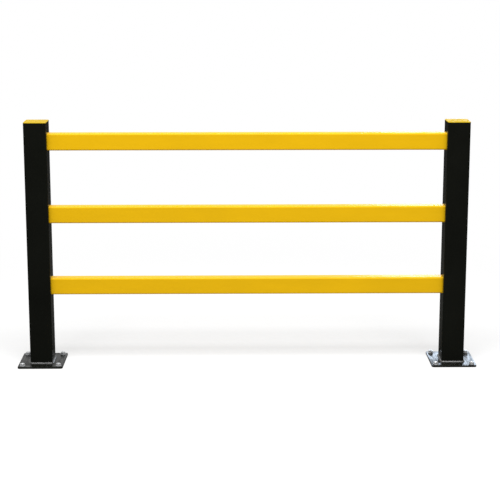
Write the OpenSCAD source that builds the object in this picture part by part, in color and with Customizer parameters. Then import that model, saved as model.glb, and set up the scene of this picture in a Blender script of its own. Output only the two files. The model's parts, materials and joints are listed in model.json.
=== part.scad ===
// Impact protection railing: one bay of three rails between two posts on base plates.
// Lengths are in millimetres. The origin is the centre of the left base plate's underside,
// +X runs along the rails to the right-hand post, -Y is the front and +Z is up.

/* [Railing] */
// Height from the ground to the top of the post caps
overall_h = 1100; // [900:10:1300]
// Distance between the centre lines of the two posts
post_pitch = 1850; // [1000:10:2500]

/* [Posts] */
// Outside width and depth of the square post tube
post_w = 100; // [80:1:130]
// Wall thickness of the post tube
post_t = 4; // [3:0.5:6]
// Outside corner radius of the post tube
post_r = 8; // [7:0.5:12]

/* [Base plates] */
// Width and depth of each square base plate
plate_w = 200; // [165:1:300]
// Thickness of each base plate
plate_t = 8; // [6:0.5:15]
// Corner radius of each base plate
plate_r = 10; // [3:1:15]
// Distance from the plate's edges to the centre of each anchor hole
hole_edge = 20; // [12:1:30]
// Diameter of the anchor holes
hole_d = 14; // [8:0.5:18]
// Leg length of the fillet weld round the foot of each post
weld_leg = 6; // [3:0.5:10]
// Rise of the weld's rounded face above a straight fillet
weld_crown = 0.8; // [0.1:0.1:1.5]

/* [Rails] */
// Height of the rectangular rail tube
rail_h = 75; // [50:1:100]
// Depth of the rectangular rail tube, from front to back
rail_w = 50; // [30:1:60]
// Wall thickness of the rail tube
rail_t = 3; // [2:0.5:5]
// Outside corner radius of the rail tube
rail_r = 7; // [5.5:0.5:10]
// Distance from the top of the railing down to the centre of the top rail
top_rail_drop = 90; // [75:1:150]
// Distance between the centres of neighbouring rails
rail_pitch = 326; // [200:1:340]
// Clearance round a rail in the slot that it passes through
slot_fit = 0.3; // [0.2:0.05:1]
// Gap between the end of a rail and the far wall inside the post
rail_end_gap = 6; // [1:1:30]

/* [Post caps] */
// Thickness of the cap's head, which covers the top of the post
cap_head_h = 2.5; // [1.5:0.5:6]
// Bevel along the top edge of the cap's head
cap_bevel = 0.8; // [0.2:0.1:1]
// Depth of the plug under the head
plug_h = 25; // [15:1:35]
// Gap between the plug's body and the wall of the post
plug_inset = 3; // [1.5:0.5:6]
// Wall thickness of the plug
plug_t = 2; // [1:0.5:3]
// Number of gripping fins round the plug
fin_count = 3; // [1:1:4]
// Thickness of each fin
fin_h = 1.5; // [1:0.5:2]
// Clearance between the fins and the wall of the post
fin_fit = 0.3; // [0.1:0.05:0.5]

/* [Hidden] */

$fn = 64;
post_colour = "#151613";
rail_colour = "#e8b30a";

// How far a cutter runs past the face that it opens
overcut = 1;
// Number of steps round the weld's rounded face
weld_steps = 6;

post_h = overall_h - plate_t - cap_head_h;
post_top_z = plate_t + post_h;
bore_w = post_w - 2 * post_t;
bore_r = post_r - post_t;
hole_pitch = plate_w - 2 * hole_edge;

// Heights of the rail centres, from the top rail down
top_rail_z = overall_h - top_rail_drop;
middle_rail_z = top_rail_z - rail_pitch;
bottom_rail_z = middle_rail_z - rail_pitch;

rail_bite = post_w - post_t - rail_end_gap;
rail_len = post_pitch - post_w + 2 * rail_bite;

plug_w = bore_w - 2 * plug_inset;
plug_r = bore_r;
fin_w = bore_w - 2 * fin_fit;
fin_r = bore_r - fin_fit;
fin_pitch = plug_h / (fin_count + 1);

// A rectangle with round corners, centred
module rounded_rect(w, d, r) {
    square([w - 2 * r, d], center = true);
    square([w, d - 2 * r], center = true);
    at_corners(w - 2 * r, d - 2 * r) circle(r = r);
}

// Its children at the four corners of a centred rectangle
module at_corners(w, d) {
    for (sx = [-1, 1], sy = [-1, 1])
        translate([sx * w / 2, sy * d / 2])
            children();
}

// The cross-section of a rectangular hollow section with round corners
module tube_section(w, d, t, r) {
    difference() {
        rounded_rect(w, d, r);
        rounded_rect(w - 2 * t, d - 2 * t, r - t);
    }
}

// Stands a drawing in the YZ plane, so that its extrusion runs along X
module along_x() {
    rotate([90, 0, 90]) children();
}

module base_plate() {
    color(post_colour)
        difference() {
            linear_extrude(plate_t) rounded_rect(plate_w, plate_w, plate_r);
            translate([0, 0, -overcut])
                at_corners(hole_pitch, hole_pitch)
                    cylinder(d = hole_d, h = plate_t + 2 * overcut);
        }
}

// inner_side is 1 where the rails enter the +X wall, and -1 where they enter the -X wall
module post(inner_side) {
    color(post_colour)
        difference() {
            translate([0, 0, plate_t])
                linear_extrude(post_h) tube_section(post_w, post_w, post_t, post_r);
            for (z = [top_rail_z, middle_rail_z, bottom_rail_z])
                translate([inner_side * post_w / 2, 0, z]) rail_slot();
        }
}

// The cutter for one slot. Its lower edge is the rail's seat, and the clearance is above and beside.
module rail_slot() {
    translate([0, 0, slot_fit])
        along_x()
            linear_extrude(2 * (post_t + overcut), center = true)
                rounded_rect(rail_w + 2 * slot_fit, rail_h + 2 * slot_fit, rail_r + slot_fit);
}

module rail(z) {
    color(rail_colour)
        translate([post_pitch / 2, 0, z])
            along_x()
                linear_extrude(rail_len, center = true)
                    tube_section(rail_w, rail_h, rail_t, rail_r);
}

// The weld's cross-section: a fillet in the corner of wall and plate, with a rounded face
module weld_section() {
    face = [
        for (i = [0 : weld_steps])
            let (s = i / weld_steps, rise = weld_crown * 4 * s * (1 - s) / sqrt(2))
                [weld_leg * (1 - s) + rise, weld_leg * s + rise]
    ];
    polygon(concat([[0, 0]], face));
}

// The weld bead: a straight run along each wall of the post and a turn at each corner
module foot_weld() {
    run = post_w - 2 * post_r;
    color(post_colour)
        translate([0, 0, plate_t])
            for (side = [0 : 3])
                rotate([0, 0, 90 * side]) {
                    translate([post_w / 2, run / 2, 0])
                        rotate([90, 0, 0])
                            linear_extrude(run) weld_section();
                    translate([run / 2, run / 2, 0])
                        rotate_extrude(angle = 90)
                            translate([post_r, 0]) weld_section();
                }
}

// A low slab with round corners, its sides sloping in at 45 degrees
module bevelled_slab(w, r, h) {
    inner = w - 2 * r;
    for (turn = [0, 90])
        rotate([0, 0, turn])
            along_x()
                linear_extrude(inner, center = true)
                    polygon([[-w / 2, 0], [w / 2, 0], [w / 2 - h, h], [h - w / 2, h]]);
    at_corners(inner, inner) cylinder(r1 = r, r2 = r - h, h = h);
}

module cap_head() {
    straight_h = cap_head_h - cap_bevel;
    linear_extrude(straight_h) rounded_rect(post_w, post_w, post_r);
    translate([0, 0, straight_h]) bevelled_slab(post_w, post_r, cap_bevel);
}

// The hollow plug under the head, with the fins that grip the inside of the post
module cap_plug() {
    linear_extrude(plug_h) tube_section(plug_w, plug_w, plug_t, plug_r);
    for (i = [1 : fin_count])
        translate([0, 0, i * fin_pitch - fin_h / 2])
            linear_extrude(fin_h)
                difference() {
                    rounded_rect(fin_w, fin_w, fin_r);
                    rounded_rect(plug_w - plug_t, plug_w - plug_t, plug_r - plug_t / 2);
                }
}

module post_cap() {
    color(rail_colour)
        translate([0, 0, post_top_z]) {
            cap_head();
            translate([0, 0, -plug_h]) cap_plug();
        }
}

// Its children at the right-hand post
module at_right() {
    translate([post_pitch, 0, 0]) children();
}

base_plate();  // base_plate_left
at_right() base_plate();  // base_plate_right
post(1);  // post_left
at_right() post(-1);  // post_right
foot_weld();  // foot_weld_left
at_right() foot_weld();  // foot_weld_right
post_cap();  // post_cap_left
at_right() post_cap();  // post_cap_right
rail(top_rail_z);  // rail_top
rail(middle_rail_z);  // rail_middle
rail(bottom_rail_z);  // rail_bottom
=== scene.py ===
import json
import math
import random

import bmesh
import bpy
from bpy.props import FloatProperty, FloatVectorProperty, PointerProperty
from mathutils import Matrix, Vector, noise


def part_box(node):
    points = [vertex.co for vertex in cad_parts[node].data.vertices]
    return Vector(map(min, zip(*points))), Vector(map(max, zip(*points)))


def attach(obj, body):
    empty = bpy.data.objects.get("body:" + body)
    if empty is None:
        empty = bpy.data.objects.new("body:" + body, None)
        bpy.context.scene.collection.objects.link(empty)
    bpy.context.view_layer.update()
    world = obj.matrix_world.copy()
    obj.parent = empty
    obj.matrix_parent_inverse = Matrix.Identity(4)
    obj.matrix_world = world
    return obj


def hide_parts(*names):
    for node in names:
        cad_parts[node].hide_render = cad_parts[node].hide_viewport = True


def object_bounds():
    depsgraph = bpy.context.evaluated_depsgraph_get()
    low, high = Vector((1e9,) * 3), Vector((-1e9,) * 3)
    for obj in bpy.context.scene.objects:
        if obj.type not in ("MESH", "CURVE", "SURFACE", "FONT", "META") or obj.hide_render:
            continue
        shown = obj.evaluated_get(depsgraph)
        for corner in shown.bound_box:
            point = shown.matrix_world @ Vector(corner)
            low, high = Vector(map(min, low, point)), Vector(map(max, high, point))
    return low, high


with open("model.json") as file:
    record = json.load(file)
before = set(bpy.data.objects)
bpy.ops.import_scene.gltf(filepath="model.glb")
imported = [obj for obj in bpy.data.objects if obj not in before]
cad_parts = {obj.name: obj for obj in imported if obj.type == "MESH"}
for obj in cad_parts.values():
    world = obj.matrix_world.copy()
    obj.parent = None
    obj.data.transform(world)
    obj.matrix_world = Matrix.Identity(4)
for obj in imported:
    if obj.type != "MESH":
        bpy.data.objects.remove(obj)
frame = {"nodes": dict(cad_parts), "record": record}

bl_info = {
    "name": "Impact Protection Railing",
    "version": (1, 0, 0),
    "blender": (4, 5, 0),
    "location": "View3D > Sidebar > Railing",
    "description": "Coats, welds, caps and anchors of a railing bay, built round its construction frame",
    "category": "Add Mesh",
}

BODY = "root"
SIDES = ("left", "right")

# The construction's box, from before anything is added to it
CAD_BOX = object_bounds()
CENTRE = (CAD_BOX[0] + CAD_BOX[1]) / 2
PLATE_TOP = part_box("base_plate_left")[1].z
# The left post stands on X = 0, so its side is half a post away
POST_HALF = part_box("post_left")[1].x
WELD_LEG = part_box("foot_weld_left")[1].x - POST_HALF
ANCHOR_PATTERNS = {
    mount["name"].split("_")[0]: mount
    for mount in frame["record"]["mounts"]
    if mount["kind"] == "bolt_pattern"
}

MM = 0.001
# Two corners that lie closer than this are one
SAME_POINT = 0.01 * MM
# Neighbouring faces that meet at less than this are one flat face
FLAT = math.radians(0.5)
# Faces that meet at more than this keep a crisp line between them
CRISP = math.radians(32)
SECTIONS_PER_RIPPLE = 5


# ---------------------------------------------------------------- sizes and colours


class RAILING_PG_finish(bpy.types.PropertyGroup):
    """Colours and textures of the railing's finishes."""

    black: FloatVectorProperty(
        name="Post black",
        description="Colour of the powder coat on the posts, base plates and welds",
        subtype="COLOR",
        default=(0.0052, 0.0056, 0.0042),
        min=0,
        max=1,
    )
    black_roughness: FloatProperty(
        name="Black roughness",
        description="Roughness of the black coat",
        subtype="FACTOR",
        default=0.13,
        min=0,
        max=1,
    )
    yellow: FloatVectorProperty(
        name="Rail yellow",
        description="Colour of the powder coat on the rails",
        subtype="COLOR",
        default=(0.84, 0.485, 0.002),
        min=0,
        max=1,
    )
    yellow_roughness: FloatProperty(
        name="Yellow roughness",
        description="Roughness of the yellow coat",
        subtype="FACTOR",
        default=0.34,
        min=0,
        max=1,
    )
    cap: FloatVectorProperty(
        name="Cap yellow",
        description="Colour of the moulded post caps",
        subtype="COLOR",
        default=(0.52, 0.35, 0.006),
        min=0,
        max=1,
    )
    zinc: FloatVectorProperty(
        name="Zinc",
        description="Colour of the plating on the anchors",
        subtype="COLOR",
        default=(0.62, 0.63, 0.64),
        min=0,
        max=1,
    )
    peel_size: FloatProperty(
        name="Orange peel size",
        description="Width of one dimple in the powder coats",
        subtype="DISTANCE",
        unit="LENGTH",
        default=2.2 * MM,
        min=0.5 * MM,
        max=10 * MM,
    )


class RAILING_PG_weld(bpy.types.PropertyGroup):
    """Sizes of the weld bead round the foot of each post."""

    corner_radius: FloatProperty(
        name="Post corner",
        description="Outside corner radius of the post, which the bead follows",
        subtype="DISTANCE",
        unit="LENGTH",
        default=8 * MM,
        min=1 * MM,
        max=20 * MM,
    )
    crown: FloatProperty(
        name="Crown",
        description="Rise of the bead's rounded face above a straight fillet",
        subtype="DISTANCE",
        unit="LENGTH",
        default=1.1 * MM,
        min=0,
        max=2 * MM,
    )
    ripple_pitch: FloatProperty(
        name="Ripple pitch",
        description="Distance from one ripple of the bead to the next",
        subtype="DISTANCE",
        unit="LENGTH",
        default=3.4 * MM,
        min=2 * MM,
        max=10 * MM,
    )
    ripple_depth: FloatProperty(
        name="Ripple depth",
        description="Depth of the valleys between ripples, as a share of the leg",
        subtype="FACTOR",
        default=0.045,
        min=0,
        max=0.3,
    )
    wander: FloatProperty(
        name="Wander",
        description="Slow change of the bead's size along its length, as a share of the leg",
        subtype="FACTOR",
        default=0.16,
        min=0,
        max=0.3,
    )


class RAILING_PG_anchor(bpy.types.PropertyGroup):
    """Sizes of one anchor: a stud, a washer and a nut."""

    stud_d: FloatProperty(
        name="Stud diameter",
        description="Outside diameter of the stud's thread",
        subtype="DISTANCE",
        unit="LENGTH",
        default=12 * MM,
        min=6 * MM,
        max=13.5 * MM,
    )
    thread_pitch: FloatProperty(
        name="Thread pitch",
        description="Distance from one thread to the next",
        subtype="DISTANCE",
        unit="LENGTH",
        default=1.75 * MM,
        min=1 * MM,
        max=2.5 * MM,
    )
    stud_proud: FloatProperty(
        name="Stud above nut",
        description="How far the stud stands out of the nut",
        subtype="DISTANCE",
        unit="LENGTH",
        default=2 * MM,
        min=1 * MM,
        max=20 * MM,
    )
    nut_af: FloatProperty(
        name="Nut across flats",
        description="Width of the hexagon nut across its flats",
        subtype="DISTANCE",
        unit="LENGTH",
        default=19 * MM,
        min=13 * MM,
        max=30 * MM,
    )
    nut_h: FloatProperty(
        name="Nut height",
        description="Height of the hexagon nut",
        subtype="DISTANCE",
        unit="LENGTH",
        default=8 * MM,
        min=5 * MM,
        max=16 * MM,
    )
    washer_d: FloatProperty(
        name="Washer diameter",
        description="Outside diameter of the washer",
        subtype="DISTANCE",
        unit="LENGTH",
        default=24 * MM,
        min=16 * MM,
        max=40 * MM,
    )
    washer_t: FloatProperty(
        name="Washer thickness",
        description="Thickness of the washer",
        subtype="DISTANCE",
        unit="LENGTH",
        default=2.5 * MM,
        min=1 * MM,
        max=4 * MM,
    )


class RAILING_PG_edges(bpy.types.PropertyGroup):
    """How far the finish rounds the edges of the flat pieces."""

    plate_edge: FloatProperty(
        name="Plate edge",
        description="Width of the rounding along the edges of a base plate",
        subtype="DISTANCE",
        unit="LENGTH",
        default=1 * MM,
        min=0.2 * MM,
        max=3 * MM,
    )
    cap_edge: FloatProperty(
        name="Cap edge",
        description="Width of the rounding along the top edge of a cap",
        subtype="DISTANCE",
        unit="LENGTH",
        default=0.35 * MM,
        min=0.1 * MM,
        max=0.5 * MM,
    )


class RAILING_PG_stage(bpy.types.PropertyGroup):
    """Camera, floor and lights."""

    camera_distance: FloatProperty(
        name="Camera distance",
        description="Distance of the camera in front of the railing",
        subtype="DISTANCE",
        unit="LENGTH",
        default=5.5,
        min=1,
        max=20,
    )
    camera_height: FloatProperty(
        name="Camera height",
        description="Height of the camera above the ground",
        subtype="DISTANCE",
        unit="LENGTH",
        default=1.89,
        min=0.2,
        max=10,
    )
    camera_side: FloatProperty(
        name="Camera offset",
        description="Distance of the camera to the right of the railing's middle",
        subtype="DISTANCE",
        unit="LENGTH",
        default=-0.055,
        min=-5,
        max=5,
    )
    camera_pitch: FloatProperty(
        name="Camera pitch",
        description="How far the camera looks down",
        subtype="ANGLE",
        unit="ROTATION",
        default=math.radians(10.4),
        min=0,
        max=math.pi / 2,
    )
    camera_turn: FloatProperty(
        name="Camera turn",
        description="How far the camera turns to its right",
        subtype="ANGLE",
        unit="ROTATION",
        default=math.radians(0.7),
        min=-math.pi / 2,
        max=math.pi / 2,
    )
    focal_length: FloatProperty(
        name="Focal length",
        description="Focal length of the lens, in millimetres",
        subtype="DISTANCE_CAMERA",
        unit="CAMERA",
        default=91.2,
        min=20,
        max=300,
    )
    lens_shift: FloatProperty(
        name="Lens shift",
        description="Vertical shift of the lens, as a share of the frame",
        default=-0.16,
        min=-1,
        max=1,
    )
    key_power: FloatProperty(
        name="Key light",
        description="Power of the overhead softbox",
        subtype="POWER",
        unit="POWER",
        default=440,
        min=0,
        max=2000,
    )
    fill: FloatProperty(
        name="Fill light",
        description="Brightness of the light that comes evenly from all around",
        default=0.5,
        min=0,
        max=2,
    )
    floor_radius: FloatProperty(
        name="Floor radius",
        description="Radius of the round floor",
        subtype="DISTANCE",
        unit="LENGTH",
        default=60,
        min=5,
        max=200,
    )


# ---------------------------------------------------------------- node trees


class Value:
    """An output of a node tree. Arithmetic on it adds Math nodes."""

    def __init__(self, tree, socket):
        self.tree = tree
        self.socket = socket

    def math(self, operation, first, second):
        return self.tree.node("ShaderNodeMath", {"operation": operation}, {0: first, 1: second})

    def __add__(self, other):
        return self.math("ADD", self, other)

    def __radd__(self, other):
        return self.math("ADD", other, self)

    def __sub__(self, other):
        return self.math("SUBTRACT", self, other)

    def __rsub__(self, other):
        return self.math("SUBTRACT", other, self)

    def __mul__(self, other):
        return self.math("MULTIPLY", self, other)

    def __rmul__(self, other):
        return self.math("MULTIPLY", other, self)


class Tree:
    """A material's or the world's node tree, built from empty."""

    def __init__(self, owner):
        owner.use_nodes = True
        self.nodes = owner.node_tree.nodes
        self.links = owner.node_tree.links
        self.nodes.clear()

    def node(self, kind, settings=None, inputs=None, output=0):
        """Adds a node, makes its settings, then fills its sockets, and returns one of its outputs."""
        made = self.nodes.new(kind)
        for name, setting in (settings or {}).items():
            if name == "stops":
                self.set_stops(made.color_ramp, setting)
            else:
                setattr(made, name, setting)
        for name, given in (inputs or {}).items():
            if isinstance(given, Value):
                self.links.new(given.socket, made.inputs[name])
            else:
                made.inputs[name].default_value = given
        return Value(self, made.outputs[output]) if made.outputs else None

    @staticmethod
    def set_stops(ramp, stops):
        """Gives a colour ramp its (place, brightness) stops."""
        while len(ramp.elements) < len(stops):
            ramp.elements.new(1)
        for element, (place, brightness) in zip(ramp.elements, stops):
            element.position = place
            element.color = (brightness, brightness, brightness, 1)

    def place(self, stretch=(1, 1, 1)):
        """Object coordinates in metres, squeezed by a factor along each axis."""
        at = self.node("ShaderNodeTexCoord", output="Object")
        return self.node("ShaderNodeMapping", {}, {"Vector": at, "Scale": stretch})

    def cloud(self, size, stretch=(1, 1, 1), detail=2.0, roughness=0.5):
        """Smooth noise from 0 to 1 whose patches are about the given size, in metres."""
        return self.node(
            "ShaderNodeTexNoise",
            {"noise_dimensions": "3D"},
            {"Vector": self.place(stretch), "Scale": 1 / size, "Detail": detail, "Roughness": roughness},
        )

    def ramp(self, value, *stops):
        """A number remade by (place, brightness) stops."""
        return self.node("ShaderNodeValToRGB", {"stops": stops}, {"Fac": value})

    def mix(self, factor, first, second):
        """A colour between two colours."""
        colours = {6: opaque(first), 7: opaque(second)}
        return self.node("ShaderNodeMix", {"data_type": "RGBA"}, {0: factor, **colours}, output=2)

    def bump(self, height, depth, under=None):
        """A normal bent by a height from 0 to 1 that stands for a depth in metres."""
        inputs = {"Strength": 1.0, "Distance": depth, "Height": height}
        if under is not None:
            inputs["Normal"] = under
        return self.node("ShaderNodeBump", {}, inputs)

    def surface(self, **inputs):
        """Ends the tree in a Principled shader. Underscores in the names stand for spaces."""
        named = {name.replace("_", " "): given for name, given in inputs.items()}
        shader = self.node("ShaderNodeBsdfPrincipled", {}, named)
        self.node("ShaderNodeOutputMaterial", {}, {"Surface": shader})


def opaque(colour):
    """A colour with full alpha, or a linked colour as it is."""
    return colour if isinstance(colour, Value) else (*colour, 1)


def shade(colour, factor):
    """A colour made lighter or darker by a factor."""
    return tuple(min(1, part * factor) for part in colour)


def new_finish(name):
    """An empty material and its tree."""
    material = bpy.data.materials.new(name)
    return material, Tree(material)


# ---------------------------------------------------------------- finishes


def orange_peel(tree, size, depth, under=None):
    """The fine dimples that a sprayed and baked powder leaves."""
    return tree.bump(tree.cloud(size, detail=1.0), depth, under)


def black_coat(finish, name="black powder coat", shine=0.13, streaks=0.0):
    """Glossy black powder coat: nearly flat, with a slow wave that draws out its reflections.

    Streaks is how much duller the coat gets along the grain of the metal under it.
    """
    material, tree = new_finish(name)
    drift = tree.cloud(220 * MM, detail=3.0)
    tone = tree.mix(drift, shade(finish.black, 0.6), shade(finish.black, 1.5))
    specks = tree.ramp(tree.cloud(4 * MM, detail=0.0), (0.74, 0), (0.8, 1))
    dull = finish.black_roughness + tree.cloud(50 * MM, detail=3.0) * 0.08
    if streaks:
        grain = tree.cloud(9 * MM, stretch=(1, 0.1, 1), detail=2.0)
        dull = dull + tree.ramp(grain, (0.42, 0), (0.62, 1)) * streaks
    wave = tree.bump(tree.cloud(45 * MM, stretch=(1, 0.35, 0.35), detail=1.5), 0.18 * MM)
    tree.surface(
        Base_Color=tree.mix(specks * 0.12, tone, shade(finish.black, 5)),
        Roughness=dull,
        Specular_IOR_Level=shine,
        Normal=orange_peel(tree, finish.peel_size, 0.02 * MM, wave),
    )
    return material


def plate_coat(finish):
    """The same coat over rolled plate, whose grain draws dull streaks from front to back."""
    return black_coat(finish, "black powder coat on plate", streaks=0.2)


def bead_coat(finish):
    """The same coat over a weld, where it lies thick and shines."""
    return black_coat(finish, "black powder coat on weld", shine=0.75)


def yellow_coat(finish):
    """Satin yellow powder coat, a little thicker here and there along the rail."""
    material, tree = new_finish("yellow powder coat")
    drift = tree.cloud(60 * MM, stretch=(0.25, 1, 1), detail=4.0, roughness=0.6)
    thick = tree.ramp(drift, (0.3, 0), (0.7, 1))
    tree.surface(
        Base_Color=tree.mix(thick, shade(finish.yellow, 0.955), shade(finish.yellow, 1.02)),
        Roughness=finish.yellow_roughness + tree.cloud(30 * MM) * 0.1,
        Specular_IOR_Level=0.13,
        Normal=orange_peel(tree, finish.peel_size, 0.09 * MM),
    )
    return material


def moulded_yellow(finish):
    """Moulded plastic with a fine spark-eroded grain."""
    material, tree = new_finish("moulded yellow plastic")
    grain = tree.cloud(0.9 * MM, detail=2.0)
    flow = tree.cloud(50 * MM, stretch=(1, 0.4, 1), detail=2.0)
    tree.surface(
        Base_Color=tree.mix(flow, shade(finish.cap, 0.95), shade(finish.cap, 1.05)),
        Roughness=0.52 + grain * 0.14,
        Specular_IOR_Level=0.14,
        Normal=tree.bump(grain, 0.04 * MM),
    )
    return material


def bright_zinc(finish):
    """Bright zinc plating, cloudy where the bath has dulled it."""
    material, tree = new_finish("bright zinc")
    dull = tree.ramp(tree.cloud(7 * MM, detail=3.0), (0.35, 0), (0.7, 1))
    scratches = tree.cloud(0.8 * MM, stretch=(1, 1, 0.2), detail=2.0)
    tree.surface(
        Base_Color=tree.mix(dull, finish.zinc, shade(finish.zinc, 0.72)),
        Metallic=0.65,
        Roughness=0.36 + dull * 0.18,
        Normal=tree.bump(scratches, 0.03 * MM),
    )
    return material


FINISHES = {
    "post_black": black_coat,
    "plate_black": plate_coat,
    "weld_black": bead_coat,
    "rail_yellow": yellow_coat,
    "cap_yellow": moulded_yellow,
    "anchor_zinc": bright_zinc,
}


def finish_for(coat):
    """The material of a coat, made the first time that it is asked for."""
    made = bpy.context.scene.get("railing_finishes", {})
    if coat not in made:
        material = FINISHES[coat](bpy.context.scene.railing_finish)
        bpy.context.scene["railing_finishes"] = {**dict(made), coat: material.name}
        return material
    return bpy.data.materials[made[coat]]


def coat_node(name, slot):
    """Gives a construction node its finish."""
    for holder in frame["nodes"][name].material_slots:
        holder.material = finish_for(slot)


# ---------------------------------------------------------------- shapes


def add_piece(bm, name, slot, replaces=(), coat=None):
    """Makes a bmesh a finished piece on the railing, in its slot's coat or one of its own."""
    bmesh.ops.remove_doubles(bm, verts=bm.verts, dist=SAME_POINT)
    bmesh.ops.recalc_face_normals(bm, faces=bm.faces)
    mesh = bpy.data.meshes.new(name)
    bm.to_mesh(mesh)
    bm.free()
    mesh.shade_smooth()
    mesh.set_sharp_from_angle(angle=CRISP)
    mesh.materials.append(finish_for(coat or slot))
    piece = bpy.data.objects.new(name, mesh)
    bpy.context.scene.collection.objects.link(piece)
    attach(piece, BODY)
    if replaces:
        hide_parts(*replaces)


def merged_copy(node):
    """A bmesh of a construction node with its triangles joined into flat faces."""
    bm = bmesh.new()
    bm.from_mesh(frame["nodes"][node].data)
    bmesh.ops.remove_doubles(bm, verts=bm.verts, dist=SAME_POINT)
    bmesh.ops.dissolve_limit(bm, angle_limit=FLAT, verts=bm.verts, edges=bm.edges)
    return bm


def round_edges(bm, edges, width, segments=3):
    """Rounds the given edges."""
    bmesh.ops.bevel(
        bm,
        geom=edges,
        offset=width,
        offset_type="OFFSET",
        affect="EDGES",
        segments=segments,
        profile=0.5,
        material=-1,
    )


def crisp_edges(bm, lowest=-math.inf):
    """The edges above a height where two faces meet at more than a slight angle."""
    return [
        edge
        for edge in bm.edges
        if edge.calc_face_angle(0) > CRISP and min(vert.co.z for vert in edge.verts) > lowest
    ]


def turn_profile(profile, sides=48, closed=False):
    """A shape turned round the Z axis from (radius, height) points. A closed profile makes a ring."""
    bm = bmesh.new()
    points = [bm.verts.new((radius, 0, height)) for radius, height in profile]
    following = points[1:] + (points[:1] if closed else [])
    lines = [bm.edges.new(pair) for pair in zip(points, following)]
    bmesh.ops.spin(
        bm,
        geom=points + lines,
        cent=(0, 0, 0),
        axis=(0, 0, 1),
        angle=2 * math.pi,
        steps=sides,
        use_merge=True,
    )
    bmesh.ops.remove_doubles(bm, verts=bm.verts, dist=SAME_POINT)
    return bm


def ring_edges(verts):
    """The edges that join the vertices of one ring."""
    ring = set(verts)
    touching = {edge for vert in verts for edge in vert.link_edges}
    return [edge for edge in touching if set(edge.verts) <= ring]


def join_rings(bm, rings):
    """Skins neighbouring rings, and the last to the first."""
    outlines = [ring_edges(ring) for ring in rings]
    for one, other in zip(outlines, outlines[1:] + outlines[:1]):
        bmesh.ops.bridge_loops(bm, edges=one + other)


def post_centre(side):
    """The middle of a post's foot, on the ground."""
    low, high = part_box(f"base_plate_{side}")
    return Vector(((low.x + high.x) / 2, (low.y + high.y) / 2, low.z))


def anchor_places():
    """The name and the place on the plate of every anchor."""
    for side in SIDES:
        pattern = ANCHOR_PATTERNS[side]
        middle = Vector(pattern["pos_m"])
        reach_x = pattern["dims"]["spacing_x_mm"] / 2 * MM
        reach_y = pattern["dims"]["spacing_y_mm"] / 2 * MM
        corners = [(x, y) for y in (-reach_y, reach_y) for x in (-reach_x, reach_x)]
        for number, (x, y) in enumerate(corners, 1):
            yield f"{side}_{number}", Vector((middle.x + x, middle.y + y, PLATE_TOP))


def turned_to(place, turn):
    """The matrix that turns about Z and then moves to a place."""
    return Matrix.Translation(place) @ Matrix.Rotation(turn, 4, "Z")


def weld_section(leg, crown, steps=7):
    """Points across the bead, from its root out along the plate and up its rounded face to the wall."""
    yield Vector((0, 0, 0))
    for step in range(steps + 1):
        share = step / steps
        # Nothing at the two toes and the full crown half way
        rise = crown * 4 * share * (1 - share)
        out = rise / math.sqrt(2)
        # The crown also runs ahead of the toes, which curves the ripples
        yield Vector((leg * (1 - share) + out, rise, leg * share + out))


def weld_path(half, radius, spacing):
    """Distance, whole length, place and turn of each stop of the torch round a square post."""
    run = 2 * (half - radius)
    corner = radius * math.pi / 2
    around = 4 * (run + corner)
    stops = round(around / spacing)
    for stop in range(stops):
        distance = around * stop / stops
        side, along = divmod(distance, run + corner)
        if along < run:
            place, turn = Vector((half, along - run / 2, 0)), 0
        else:
            turn = (along - run) / radius
            pivot = half - radius
            place = Vector((pivot + radius * math.cos(turn), pivot + radius * math.sin(turn), 0))
        whole = Matrix.Rotation(side * math.pi / 2, 4, "Z")
        yield distance, around, whole @ place, side * math.pi / 2 + turn


def bead_size(distance, around, weld, seed):
    """Size of the bead at a distance along it, as a share of its leg."""
    ripple = abs(math.sin(math.pi * distance / weld.ripple_pitch))
    turn = 2 * math.pi * distance / around
    # The wider this circle through the noise, the more often the bead swells and shrinks
    reach = 2.6
    drift = noise.noise(Vector((math.cos(turn) * reach, math.sin(turn) * reach, seed)))
    return 1 - weld.ripple_depth * (1 - ripple) + weld.wander * drift


def lay_weld(side, weld, seed):
    """The bead round the foot of one post, a ring of ripples."""
    bm = bmesh.new()
    rings = []
    foot = post_centre(side) + Vector((0, 0, PLATE_TOP))
    spacing = weld.ripple_pitch / SECTIONS_PER_RIPPLE
    for distance, around, place, turn in weld_path(POST_HALF, weld.corner_radius, spacing):
        size = Matrix.Scale(bead_size(distance, around, weld, seed), 4)
        stand = turned_to(foot + place, turn) @ size
        ring = [bm.verts.new(stand @ point) for point in weld_section(WELD_LEG, weld.crown)]
        for one, other in zip(ring, ring[1:] + ring[:1]):
            bm.edges.new((one, other))
        rings.append(ring)
    join_rings(bm, rings)
    add_piece(bm, f"weld_bead_{side}", "post_black", [f"foot_weld_{side}"], coat="weld_black")


def make_washer(anchor):
    """A flat round washer with softened edges, standing on Z = 0."""
    slack = 0.5 * MM
    bore = anchor.stud_d / 2 + slack
    rim = anchor.washer_d / 2
    top = anchor.washer_t
    edge = 0.35 * MM
    bm = turn_profile([(bore, 0), (rim, 0), (rim, top), (bore, top)], closed=True)
    round_edges(bm, crisp_edges(bm), edge, segments=2)
    return bm


def draw_to_hexagon(verts, across_flats):
    """Moves the points of a ring in or out to a hexagon, along their own directions."""
    flat_to_flat = math.pi / 3
    for vert in verts:
        angle = math.atan2(vert.co.y, vert.co.x)
        off_flat = (angle + flat_to_flat / 2) % flat_to_flat - flat_to_flat / 2
        reach = across_flats / 2 / math.cos(off_flat)
        vert.co.xy = Vector((math.cos(angle), math.sin(angle))) * reach


def chamfer_corners(verts, circle, slope, middle):
    """Draws the points outside the chamfer's circle towards the middle height, the corners most."""
    for vert in verts:
        drop = slope * (vert.co.xy.length - circle)
        vert.co.z += drop if vert.co.z < middle else -drop


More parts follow.
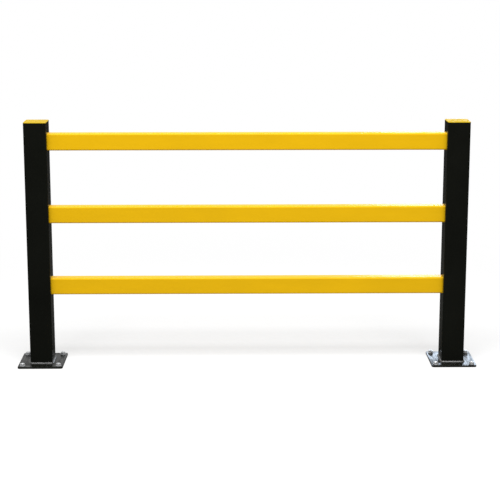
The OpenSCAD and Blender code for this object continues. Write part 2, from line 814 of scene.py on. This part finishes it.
def make_nut(anchor):
    """A hexagon nut, its corners cut back by a cone above and below, standing on Z = 0."""
    slack = 0.05 * MM
    bore = anchor.stud_d / 2 + slack
    countersink = 0.6 * MM
    mouth = bore + countersink
    inset = 0.25 * MM
    circle = anchor.nut_af / 2 - inset
    slope = math.tan(math.radians(30))
    top = anchor.nut_h
    profile = [
        (bore, countersink),
        (mouth, 0),
        (circle, 0),
        (anchor.nut_af, 0),
        (anchor.nut_af, top),
        (circle, top),
        (mouth, top),
        (bore, top - countersink),
    ]
    bm = turn_profile(profile, closed=True)
    outer = [vert for vert in bm.verts if vert.co.xy.length > circle + SAME_POINT]
    draw_to_hexagon(outer, anchor.nut_af)
    chamfer_corners(outer, circle, slope, top / 2)
    return bm


def make_stud(anchor, top, bottom):
    """A threaded stud between two heights, with a chamfered end."""
    crest = anchor.stud_d / 2
    thread_depth = 0.6 * anchor.thread_pitch
    root = crest - thread_depth
    chamfer = 1.2 * MM
    flat = anchor.thread_pitch / 8
    profile = [(0, bottom), (root, bottom)]
    height = top - chamfer
    while height > bottom + anchor.thread_pitch:
        middle = height - anchor.thread_pitch / 2
        profile[2:2] = [
            (root, height - anchor.thread_pitch + flat),
            (crest, middle - flat / 2),
            (crest, middle + flat / 2),
            (root, height - flat),
        ]
        height -= anchor.thread_pitch
    profile += [(crest, top - chamfer), (crest - chamfer, top), (0, top)]
    return turn_profile(profile, sides=32)


def stand_at(bm, place, turn=0):
    """Turns a part about Z and moves it to its place."""
    bmesh.ops.transform(bm, matrix=turned_to(place, turn), verts=bm.verts)


# ---------------------------------------------------------------- stage


def seen_directly(tree):
    """1 for a ray that the camera, a mirror or a glass sends, and 0 for light on its way round."""
    camera = tree.node("ShaderNodeLightPath", output="Is Camera Ray")
    glossy = tree.node("ShaderNodeLightPath", output="Is Glossy Ray")
    transmission = tree.node("ShaderNodeLightPath", output="Is Transmission Ray")
    return camera.math("MAXIMUM", camera, glossy.math("MAXIMUM", glossy, transmission))


def floor_finish():
    """White floor: a matt paint that takes shadow, under plain white that takes over further out."""
    material, tree = new_finish("white floor")
    middle = (CENTRE.x, 0, 0)
    at = tree.node("ShaderNodeTexCoord", output="Object")
    offset = tree.node("ShaderNodeVectorMath", {"operation": "SUBTRACT"}, {0: at, 1: middle})
    away = tree.node("ShaderNodeVectorMath", {"operation": "LENGTH"}, {0: offset}, output="Value")
    fade = {"interpolation_type": "SMOOTHERSTEP"}
    far = tree.node("ShaderNodeMapRange", fade, {"Value": away, "From Min": 1.0, "From Max": 2.8})
    paint_share = 0.4
    seen = seen_directly(tree)
    plain = seen * (1 - (1 - far) * paint_share)
    # Pale to look at, and darker for the light that it sends back up to the railing
    tone = tree.mix(seen, (0.4, 0.4, 0.4), (0.9, 0.9, 0.9))
    paint = tree.node("ShaderNodeBsdfDiffuse", {}, {"Color": tone})
    white = tree.node("ShaderNodeEmission", {}, {"Color": (1, 1, 1, 1), "Strength": 1.0})
    surface = tree.node("ShaderNodeMixShader", {}, {0: plain, 1: paint, 2: white})
    tree.node("ShaderNodeOutputMaterial", {}, {"Surface": surface})
    return material


def add_disc(context, name, radius, height, material):
    """A round sheet under the railing that belongs to the stage."""
    bm = bmesh.new()
    bmesh.ops.create_circle(bm, cap_ends=True, segments=96, radius=radius)
    bmesh.ops.translate(bm, verts=bm.verts, vec=(CENTRE.x, 0, height))
    mesh = bpy.data.meshes.new(name)
    bm.to_mesh(mesh)
    bm.free()
    mesh.materials.append(material)
    disc = bpy.data.objects.new(name, mesh)
    context.scene.collection.objects.link(disc)
    return disc


def add_softbox(context, name, place, aim, size, power, colour=(1, 1, 1)):
    """A rectangular light at a place, turned towards a point, that the camera doesn't see."""
    light = bpy.data.lights.new(name, "AREA")
    light.shape = "RECTANGLE"
    light.size, light.size_y = size
    light.energy = power
    light.color = colour
    lamp = bpy.data.objects.new(name, light)
    context.scene.collection.objects.link(lamp)
    lamp.location = place
    lamp.rotation_euler = (Vector(aim) - Vector(place)).to_track_quat("-Z", "Y").to_euler()
    lamp.visible_camera = False
    return lamp


# ---------------------------------------------------------------- operators


class RAILING_OT_set_stage(bpy.types.Operator):
    """Place the camera, the floor and the lights."""

    bl_idname = "railing.set_stage"
    bl_label = "Set Stage"

    def execute(self, context):
        stage = context.scene.railing_stage
        context.scene.view_settings.view_transform = "Standard"
        self.place_camera(context, stage)
        self.light_world(context, stage)
        self.lay_floor(context, stage)
        self.hang_lights(context, stage)
        self.spread_flag(context, stage)
        return {"FINISHED"}

    def place_camera(self, context, stage):
        """A long lens in front of the railing, a little above it and looking down."""
        lens = bpy.data.cameras.new("camera")
        lens.lens = stage.focal_length
        lens.shift_y = stage.lens_shift
        lens.clip_end = 4 * stage.floor_radius
        camera = bpy.data.objects.new("camera", lens)
        context.scene.collection.objects.link(camera)
        camera.location = (CENTRE.x + stage.camera_side, -stage.camera_distance, stage.camera_height)
        camera.rotation_euler = (math.pi / 2 - stage.camera_pitch, 0, -stage.camera_turn)
        context.scene.camera = camera

    def light_world(self, context, stage):
        """An even fill, and plain white wherever the world is seen or mirrored."""
        world = bpy.data.worlds.new("studio")
        context.scene.world = world
        tree = Tree(world)
        seen = seen_directly(tree)
        fill = tree.node("ShaderNodeBackground", {}, {"Color": (1, 1, 1, 1), "Strength": stage.fill})
        white = tree.node("ShaderNodeBackground", {}, {"Color": (1, 1, 1, 1), "Strength": 1.0})
        both = tree.node("ShaderNodeMixShader", {}, {0: seen, 1: fill, 2: white})
        tree.node("ShaderNodeOutputWorld", {}, {"Surface": both})

    def lay_floor(self, context, stage):
        """A round floor that takes the railing's shadow and fades to plain white around it."""
        add_disc(context, "floor", stage.floor_radius, 0, floor_finish())

    def spread_flag(self, context, stage):
        """A dark cloth over the floor that only reflections see, which keeps the gloss black deep."""
        material, tree = new_finish("dark cloth")
        cloth = tree.node("ShaderNodeBsdfDiffuse", {}, {"Color": (0.06, 0.06, 0.055, 1)})
        tree.node("ShaderNodeOutputMaterial", {}, {"Surface": cloth})
        just_above_floor = 0.2 * MM
        flag = add_disc(context, "flag", stage.floor_radius, just_above_floor, material)
        flag.visible_camera = False
        flag.visible_diffuse = False
        flag.visible_shadow = False
        flag.visible_transmission = False

    def hang_lights(self, context, stage):
        """A wide softbox above the front, and a cool window behind that only reflections see."""
        add_softbox(
            context,
            "key softbox",
            place=(CENTRE.x, -2.4, 6.0),
            aim=(CENTRE.x, 0, 0.5),
            size=(5.5, 2.2),
            power=stage.key_power,
        )
        right_foot = post_centre("right")
        window = add_softbox(
            context,
            "cool window",
            place=right_foot + Vector((0.65, 3.0, 1.12)),
            aim=right_foot,
            size=(1.3, 0.9),
            power=29,
            colour=(0.7, 0.83, 1.0),
        )
        window.visible_diffuse = False


class RAILING_OT_coat_posts(bpy.types.Operator):
    """Give the posts their black powder coat."""

    bl_idname = "railing.coat_posts"
    bl_label = "Coat Posts"

    def execute(self, context):
        for side in SIDES:
            coat_node(f"post_{side}", "post_black")
        return {"FINISHED"}


class RAILING_OT_coat_rails(bpy.types.Operator):
    """Give the rails their yellow powder coat."""

    bl_idname = "railing.coat_rails"
    bl_label = "Coat Rails"

    def execute(self, context):
        for level in ("top", "middle", "bottom"):
            coat_node(f"rail_{level}", "rail_yellow")
        return {"FINISHED"}


class RAILING_OT_shape_plates(bpy.types.Operator):
    """Make the base plates, with the edges that the coat has rounded."""

    bl_idname = "railing.shape_plates"
    bl_label = "Shape Base Plates"

    def execute(self, context):
        for side in SIDES:
            node = f"base_plate_{side}"
            bm = merged_copy(node)
            round_edges(bm, crisp_edges(bm), context.scene.railing_edges.plate_edge)
            add_piece(bm, f"coated_plate_{side}", "post_black", [node], coat="plate_black")
        return {"FINISHED"}


class RAILING_OT_lay_welds(bpy.types.Operator):
    """Lay the rippled weld bead round the foot of each post."""

    bl_idname = "railing.lay_welds"
    bl_label = "Lay Welds"

    def execute(self, context):
        # Each bead reads the noise at a height of its own, so that the two differ
        for side, seed in zip(SIDES, (0.5, 10.5)):
            lay_weld(side, context.scene.railing_weld, seed)
        return {"FINISHED"}


class RAILING_OT_mould_caps(bpy.types.Operator):
    """Make the post caps, with the soft top edge of a moulding."""

    bl_idname = "railing.mould_caps"
    bl_label = "Mould Caps"

    def execute(self, context):
        # The chamfer round the top of a cap lies above this height
        below_chamfer = CAD_BOX[1].z - 1 * MM
        for side in SIDES:
            node = f"post_cap_{side}"
            bm = merged_copy(node)
            round_edges(bm, crisp_edges(bm, below_chamfer), context.scene.railing_edges.cap_edge)
            add_piece(bm, f"moulded_cap_{side}", "cap_yellow", [node])
        return {"FINISHED"}


class RAILING_OT_fit_washers(bpy.types.Operator):
    """Lay a washer over each anchor hole."""

    bl_idname = "railing.fit_washers"
    bl_label = "Fit Washers"

    def execute(self, context):
        anchor = context.scene.railing_anchor
        for name, place in anchor_places():
            bm = make_washer(anchor)
            stand_at(bm, place)
            add_piece(bm, f"anchor_washer_{name}", "anchor_zinc")
        return {"FINISHED"}


class RAILING_OT_fit_nuts(bpy.types.Operator):
    """Screw a nut down on each washer, each stopping at its own angle."""

    bl_idname = "railing.fit_nuts"
    bl_label = "Fit Nuts"

    def execute(self, context):
        anchor = context.scene.railing_anchor
        angles = random.Random(4)
        for name, place in anchor_places():
            bm = make_nut(anchor)
            stand_at(bm, place + Vector((0, 0, anchor.washer_t)), angles.uniform(0, math.pi / 3))
            add_piece(bm, f"anchor_nut_{name}", "anchor_zinc")
        return {"FINISHED"}


class RAILING_OT_fit_studs(bpy.types.Operator):
    """Stand a threaded stud in each anchor hole, each a little higher or lower than the next."""

    bl_idname = "railing.fit_studs"
    bl_label = "Fit Studs"

    def execute(self, context):
        anchor = context.scene.railing_anchor
        heights = random.Random(9)
        uneven = 0.8 * MM
        nut_top = anchor.washer_t + anchor.nut_h
        above_ground = 1 * MM
        for name, place in anchor_places():
            top = nut_top + anchor.stud_proud + heights.uniform(-uneven, uneven)
            bm = make_stud(anchor, top, bottom=above_ground - PLATE_TOP)
            stand_at(bm, place)
            add_piece(bm, f"anchor_stud_{name}", "anchor_zinc")
        return {"FINISHED"}


class RAILING_PT_panel(bpy.types.Panel):
    """The railing's sizes, colours and steps."""

    bl_idname = "RAILING_PT_panel"
    bl_label = "Railing"
    bl_space_type = "VIEW_3D"
    bl_region_type = "UI"
    bl_category = "Railing"

    def draw(self, context):
        for operator in OPERATORS:
            self.layout.operator(operator.bl_idname)
        for name, group in GROUPS.items():
            box = self.layout.box()
            for size in group.__annotations__:
                box.prop(getattr(context.scene, name), size)


# ---------------------------------------------------------------- add-on

GROUPS = {
    "railing_finish": RAILING_PG_finish,
    "railing_edges": RAILING_PG_edges,
    "railing_weld": RAILING_PG_weld,
    "railing_anchor": RAILING_PG_anchor,
    "railing_stage": RAILING_PG_stage,
}
OPERATORS = (
    RAILING_OT_set_stage,
    RAILING_OT_coat_posts,
    RAILING_OT_coat_rails,
    RAILING_OT_shape_plates,
    RAILING_OT_lay_welds,
    RAILING_OT_mould_caps,
    RAILING_OT_fit_washers,
    RAILING_OT_fit_nuts,
    RAILING_OT_fit_studs,
)
CLASSES = (*GROUPS.values(), *OPERATORS, RAILING_PT_panel)


def register():
    """Makes the classes known and gives the scene its settings."""
    for made in CLASSES:
        bpy.utils.register_class(made)
    for name, group in GROUPS.items():
        setattr(bpy.types.Scene, name, PointerProperty(type=group))


def unregister():
    """Takes the settings and the classes away again."""
    for name in GROUPS:
        delattr(bpy.types.Scene, name)
    for made in reversed(CLASSES):
        bpy.utils.unregister_class(made)


def main():
    """Registers the add-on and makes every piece."""
    register()
    bpy.ops.railing.set_stage()
    bpy.ops.railing.coat_posts()
    bpy.ops.railing.coat_rails()
    bpy.ops.railing.shape_plates()
    bpy.ops.railing.lay_welds()
    bpy.ops.railing.mould_caps()
    bpy.ops.railing.fit_washers()
    bpy.ops.railing.fit_nuts()
    bpy.ops.railing.fit_studs()


if __name__ == "__main__":
    main()
